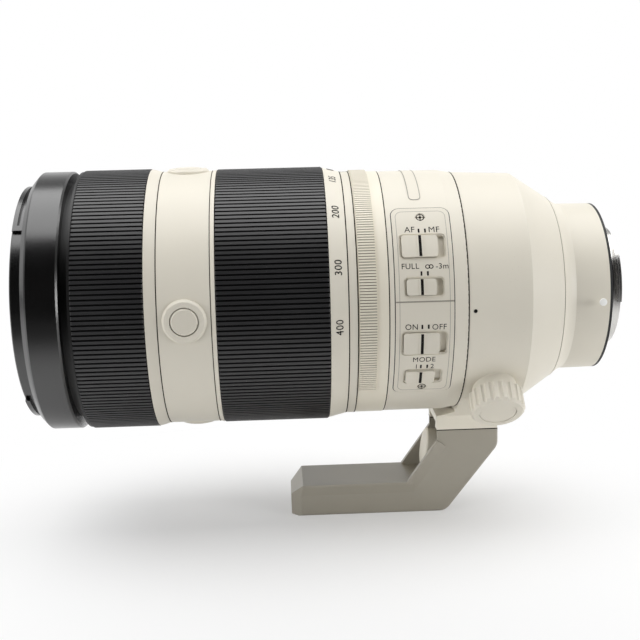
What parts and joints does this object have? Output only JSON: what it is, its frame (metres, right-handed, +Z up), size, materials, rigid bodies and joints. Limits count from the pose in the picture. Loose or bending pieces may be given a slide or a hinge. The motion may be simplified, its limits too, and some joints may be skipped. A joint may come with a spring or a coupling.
{
  "type": "camera zoom lens",
  "caption": "White telephoto zoom lens with ribbed zoom and focus rings, extending front barrel, slide switches, bayonet mount and a rotating tripod collar with a removable foot.",
  "frame": {"origin": "centre of the camera mount face on the lens axis", "axes": "+X along the lens axis towards the camera, -X out of the front glass, +Z up, foot at -Z"},
  "size_m": [0.2105, 0.0942, 0.1306],
  "materials": {
    "white_paint": "warm white satin paint",
    "white_plastic": "warm white satin plastic",
    "foot_paint": "grey-beige satin paint",
    "black_ring": "black satin paint",
    "black_plastic": "black matte plastic",
    "grip_rubber": "black ribbed rubber",
    "seal_rubber": "black rubber lip",
    "aluminium": "dark anodised aluminium",
    "bright_metal": "machined bright metal",
    "steel": "brushed steel",
    "brass": "plain brass",
    "blade_steel": "blackened spring steel",
    "board": "green circuit board",
    "lens_glass": "coated glass"
  },
  "bodies": {
    "barrel": {"outer_barrel": "aluminium", "button_band": "white_paint", "guide_barrel": "aluminium", "switch_barrel": "white_paint", "switch_panel": "white_plastic", "panel_screws": "white_plastic", "rear_barrel": "white_paint", "mount_seal": "seal_rubber", "bayonet_mount": "bright_metal", "mount_screws": "steel", "contact_block": "black_plastic", "contact_pins": "brass", "rear_baffle": "black_plastic", "rear_lens": "lens_glass", "main_board": "board", "focus_rails": "steel", "stabiliser_housing": "black_plastic"},
    "focus_ring": {"focus_sleeve": "white_plastic", "focus_grip": "grip_rubber"},
    "zoom_ring": {"zoom_sleeve": "white_paint", "zoom_grip": "grip_rubber", "cam_barrel": "aluminium"},
    "front_barrel": {"hood_mount_ring": "black_ring", "front_cell": "black_plastic", "front_retainer": "black_plastic", "front_glass": "lens_glass", "extension_tube": "white_plastic", "tube_rollers": "brass"},
    "second_group": {"group_2_cell": "aluminium", "group_2_lens": "lens_glass"},
    "iris_drive": {"iris_ring": "black_plastic"},
    "stabiliser_frame": {"stabiliser_frame": "black_plastic"},
    "stabiliser_cell": {"stabiliser_cell": "black_plastic", "stabiliser_lens": "lens_glass"},
    "front_focus_group": {"front_focus_cell": "black_plastic", "front_focus_lens": "lens_glass"},
    "rear_focus_group": {"rear_focus_cell": "black_plastic", "rear_focus_lens": "lens_glass"},
    "torque_ring": {"torque_ring": "white_plastic"},
    "collar": {"collar_ring": "white_paint"},
    "collar_knob": {"collar_knob": "white_plastic"},
    "foot": {"foot": "foot_paint", "foot_thread_insert": "steel"},
    "foot_lock_knob": {"foot_lock_knob": "white_plastic"},
    "hold_button_left": {"focus_hold_button_left": "white_plastic"},
    "hold_button_top": {"focus_hold_button_top": "white_plastic"},
    "hold_button_bottom": {"focus_hold_button_bottom": "white_plastic"},
    "focus_mode_switch": {"focus_mode_switch": "white_plastic"},
    "focus_range_switch": {"focus_range_switch": "white_plastic"},
    "stabiliser_switch": {"stabiliser_switch": "white_plastic"},
    "stabiliser_mode_switch": {"stabiliser_mode_switch": "white_plastic"},
    "iris_blade_1": {"iris_blade_1": "blade_steel"},
    "iris_blade_2": {"iris_blade_2": "blade_steel"},
    "iris_blade_3": {"iris_blade_3": "blade_steel"},
    "iris_blade_4": {"iris_blade_4": "blade_steel"},
    "iris_blade_5": {"iris_blade_5": "blade_steel"},
    "iris_blade_6": {"iris_blade_6": "blade_steel"},
    "iris_blade_7": {"iris_blade_7": "blade_steel"},
    "iris_blade_8": {"iris_blade_8": "blade_steel"},
    "iris_blade_9": {"iris_blade_9": "blade_steel"}
  },
  "joints": [
    {"name": "focus_turn", "type": "hinge", "parent": "barrel", "child": "focus_ring", "pos_m": [-0.172, 0, 0], "axis": [-1, 0, 0], "continuous": true},
    {"name": "zoom_turn", "type": "hinge", "parent": "barrel", "child": "zoom_ring", "pos_m": [-0.118, 0, 0], "axis": [-1, 0, 0], "range_deg": [0, 95]},
    {"name": "zoom_extend", "type": "slide", "parent": "barrel", "child": "front_barrel", "axis": [-1, 0, 0], "range_m": [0, 0.07]},
    {"name": "second_group_slide", "type": "slide", "parent": "barrel", "child": "second_group", "axis": [-1, 0, 0], "range_m": [0, 0.03]},
    {"name": "torque_turn", "type": "hinge", "parent": "barrel", "child": "torque_ring", "pos_m": [-0.0845, 0, 0], "axis": [-1, 0, 0], "range_deg": [0, 60]},
    {"name": "collar_turn", "type": "hinge", "parent": "barrel", "child": "collar", "pos_m": [-0.04, 0, 0], "axis": [-1, 0, 0], "continuous": true},
    {"name": "collar_knob_turn", "type": "hinge", "parent": "collar", "child": "collar_knob", "pos_m": [-0.0415, 0, 0], "axis": [0, -0.7254, -0.6884], "range_deg": [0, 300]},
    {"name": "foot_slide", "type": "slide", "parent": "collar", "child": "foot", "axis": [-1, 0, 0], "range_m": [0, 0.025]},
    {"name": "foot_lock_turn", "type": "hinge", "parent": "foot", "child": "foot_lock_knob", "pos_m": [-0.0624, 0, -0.0608], "axis": [-0.9848, 0, 0.1736], "range_deg": [0, 360]},
    {"name": "iris_turn", "type": "hinge", "parent": "barrel", "child": "iris_drive", "pos_m": [-0.0988, 0, 0], "axis": [-1, 0, 0], "range_deg": [0, 24]},
    {"name": "stabiliser_rise", "type": "slide", "parent": "barrel", "child": "stabiliser_frame", "axis": [0, 0, 1], "range_m": [-0.0008, 0.0008], "stiffness_N_per_m": 1500},
    {"name": "stabiliser_shift", "type": "slide", "parent": "stabiliser_frame", "child": "stabiliser_cell", "axis": [0, 1, 0], "range_m": [-0.0008, 0.0008], "stiffness_N_per_m": 1500},
    {"name": "front_focus_slide", "type": "slide", "parent": "barrel", "child": "front_focus_group", "axis": [-1, 0, 0], "range_m": [-0.004, 0.005]},
    {"name": "rear_focus_slide", "type": "slide", "parent": "barrel", "child": "rear_focus_group", "axis": [-1, 0, 0], "range_m": [-0.005, 0.004]},
    {"name": "hold_button_left_press", "type": "slide", "parent": "barrel", "child": "hold_button_left", "axis": [0, 1, 0], "range_m": [0, 0.0005], "stiffness_N_per_m": 800, "springref_m": -0.0006},
    {"name": "hold_button_top_press", "type": "slide", "parent": "barrel", "child": "hold_button_top", "axis": [0, 0, -1], "range_m": [0, 0.0005], "stiffness_N_per_m": 800, "springref_m": -0.0006},
    {"name": "hold_button_bottom_press", "type": "slide", "parent": "barrel", "child": "hold_button_bottom", "axis": [0, 0, 1], "range_m": [0, 0.0005], "stiffness_N_per_m": 800, "springref_m": -0.0006},
    {"name": "focus_mode_switch_slide", "type": "slide", "parent": "barrel", "child": "focus_mode_switch", "axis": [1, 0, 0], "range_m": [0, 0.0021]},
    {"name": "focus_range_switch_slide", "type": "slide", "parent": "barrel", "child": "focus_range_switch", "axis": [1, 0, 0], "range_m": [0, 0.0021]},
    {"name": "stabiliser_switch_slide", "type": "slide", "parent": "barrel", "child": "stabiliser_switch", "axis": [1, 0, 0], "range_m": [0, 0.0021]},
    {"name": "stabiliser_mode_switch_slide", "type": "slide", "parent": "barrel", "child": "stabiliser_mode_switch", "axis": [1, 0, 0], "range_m": [0, 0.0021]},
    {"name": "iris_blade_1_swing", "type": "hinge", "parent": "barrel", "child": "iris_blade_1", "pos_m": [-0.0955, 0, 0.027], "axis": [1, 0, 0], "range_deg": [0, 24]},
    {"name": "iris_blade_2_swing", "type": "hinge", "parent": "barrel", "child": "iris_blade_2", "pos_m": [-0.0955, 0.01736, 0.02068], "axis": [1, 0, 0], "range_deg": [0, 24]},
    {"name": "iris_blade_3_swing", "type": "hinge", "parent": "barrel", "child": "iris_blade_3", "pos_m": [-0.0955, 0.02659, 0.00469], "axis": [1, 0, 0], "range_deg": [0, 24]},
    {"name": "iris_blade_4_swing", "type": "hinge", "parent": "barrel", "child": "iris_blade_4", "pos_m": [-0.0955, 0.02338, -0.0135], "axis": [1, 0, 0], "range_deg": [0, 24]},
    {"name": "iris_blade_5_swing", "type": "hinge", "parent": "barrel", "child": "iris_blade_5", "pos_m": [-0.0955, 0.00923, -0.02537], "axis": [1, 0, 0], "range_deg": [0, 24]},
    {"name": "iris_blade_6_swing", "type": "hinge", "parent": "barrel", "child": "iris_blade_6", "pos_m": [-0.0955, -0.00923, -0.02537], "axis": [1, 0, 0], "range_deg": [0, 24]},
    {"name": "iris_blade_7_swing", "type": "hinge", "parent": "barrel", "child": "iris_blade_7", "pos_m": [-0.0955, -0.02338, -0.0135], "axis": [1, 0, 0], "range_deg": [0, 24]},
    {"name": "iris_blade_8_swing", "type": "hinge", "parent": "barrel", "child": "iris_blade_8", "pos_m": [-0.0955, -0.02659, 0.00469], "axis": [1, 0, 0], "range_deg": [0, 24]},
    {"name": "iris_blade_9_swing", "type": "hinge", "parent": "barrel", "child": "iris_blade_9", "pos_m": [-0.0955, -0.01736, 0.02068], "axis": [1, 0, 0], "range_deg": [0, 24]}
  ],
  "couplings": [
    {"joint": "zoom_extend", "follows": "zoom_turn", "m_per_rad": 0.042218},
    {"joint": "second_group_slide", "follows": "zoom_turn", "m_per_rad": 0.018093},
    {"joint": "iris_blade_1_swing", "follows": "iris_turn", "ratio": 1},
    {"joint": "iris_blade_2_swing", "follows": "iris_turn", "ratio": 1},
    {"joint": "iris_blade_3_swing", "follows": "iris_turn", "ratio": 1},
    {"joint": "iris_blade_4_swing", "follows": "iris_turn", "ratio": 1},
    {"joint": "iris_blade_5_swing", "follows": "iris_turn", "ratio": 1},
    {"joint": "iris_blade_6_swing", "follows": "iris_turn", "ratio": 1},
    {"joint": "iris_blade_7_swing", "follows": "iris_turn", "ratio": 1},
    {"joint": "iris_blade_8_swing", "follows": "iris_turn", "ratio": 1},
    {"joint": "iris_blade_9_swing", "follows": "iris_turn", "ratio": 1}
  ]
}
